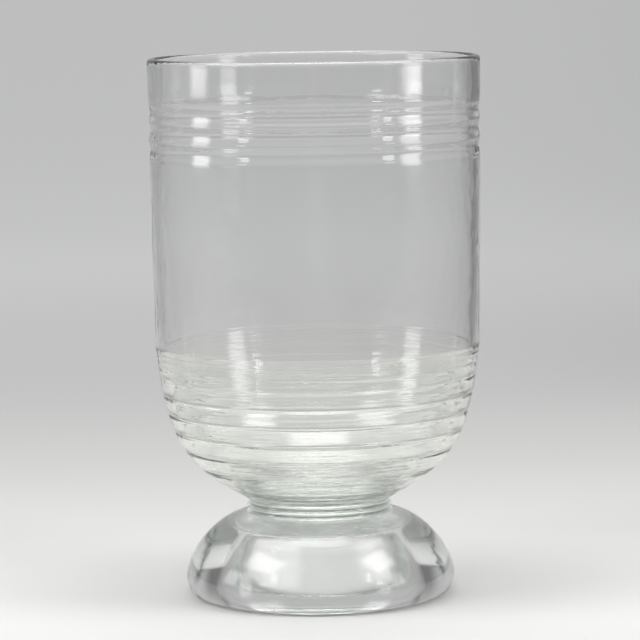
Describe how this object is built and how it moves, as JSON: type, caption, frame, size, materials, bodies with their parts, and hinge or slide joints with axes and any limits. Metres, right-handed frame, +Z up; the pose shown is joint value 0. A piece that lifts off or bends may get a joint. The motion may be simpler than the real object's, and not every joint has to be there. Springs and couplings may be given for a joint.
{
  "type": "footed glass vase",
  "caption": "Clear glass vase: tall open bowl with a ribbed rounded bottom and grooves below the rim, a short fluted collar and a thick hollow foot.",
  "frame": {"origin": "centre of the plane that the foot's standing ring rests on", "axes": "+Z up along the vase's axis of revolution, out of the bowl's mouth; X and Y are level and interchangeable"},
  "size_m": [0.172, 0.172, 0.28],
  "materials": {
    "bowl_glass": "clear, fire polished, with a faint grey-green tint",
    "collar_glass": "clear, tooled, with fine turning lines and a ragged seam",
    "foot_glass": "clear, thick, smooth, faintly grey-green"
  },
  "bodies": {
    "root": {"foot": "foot_glass", "collar": "collar_glass", "bowl": "bowl_glass"}
  },
  "joints": []
}
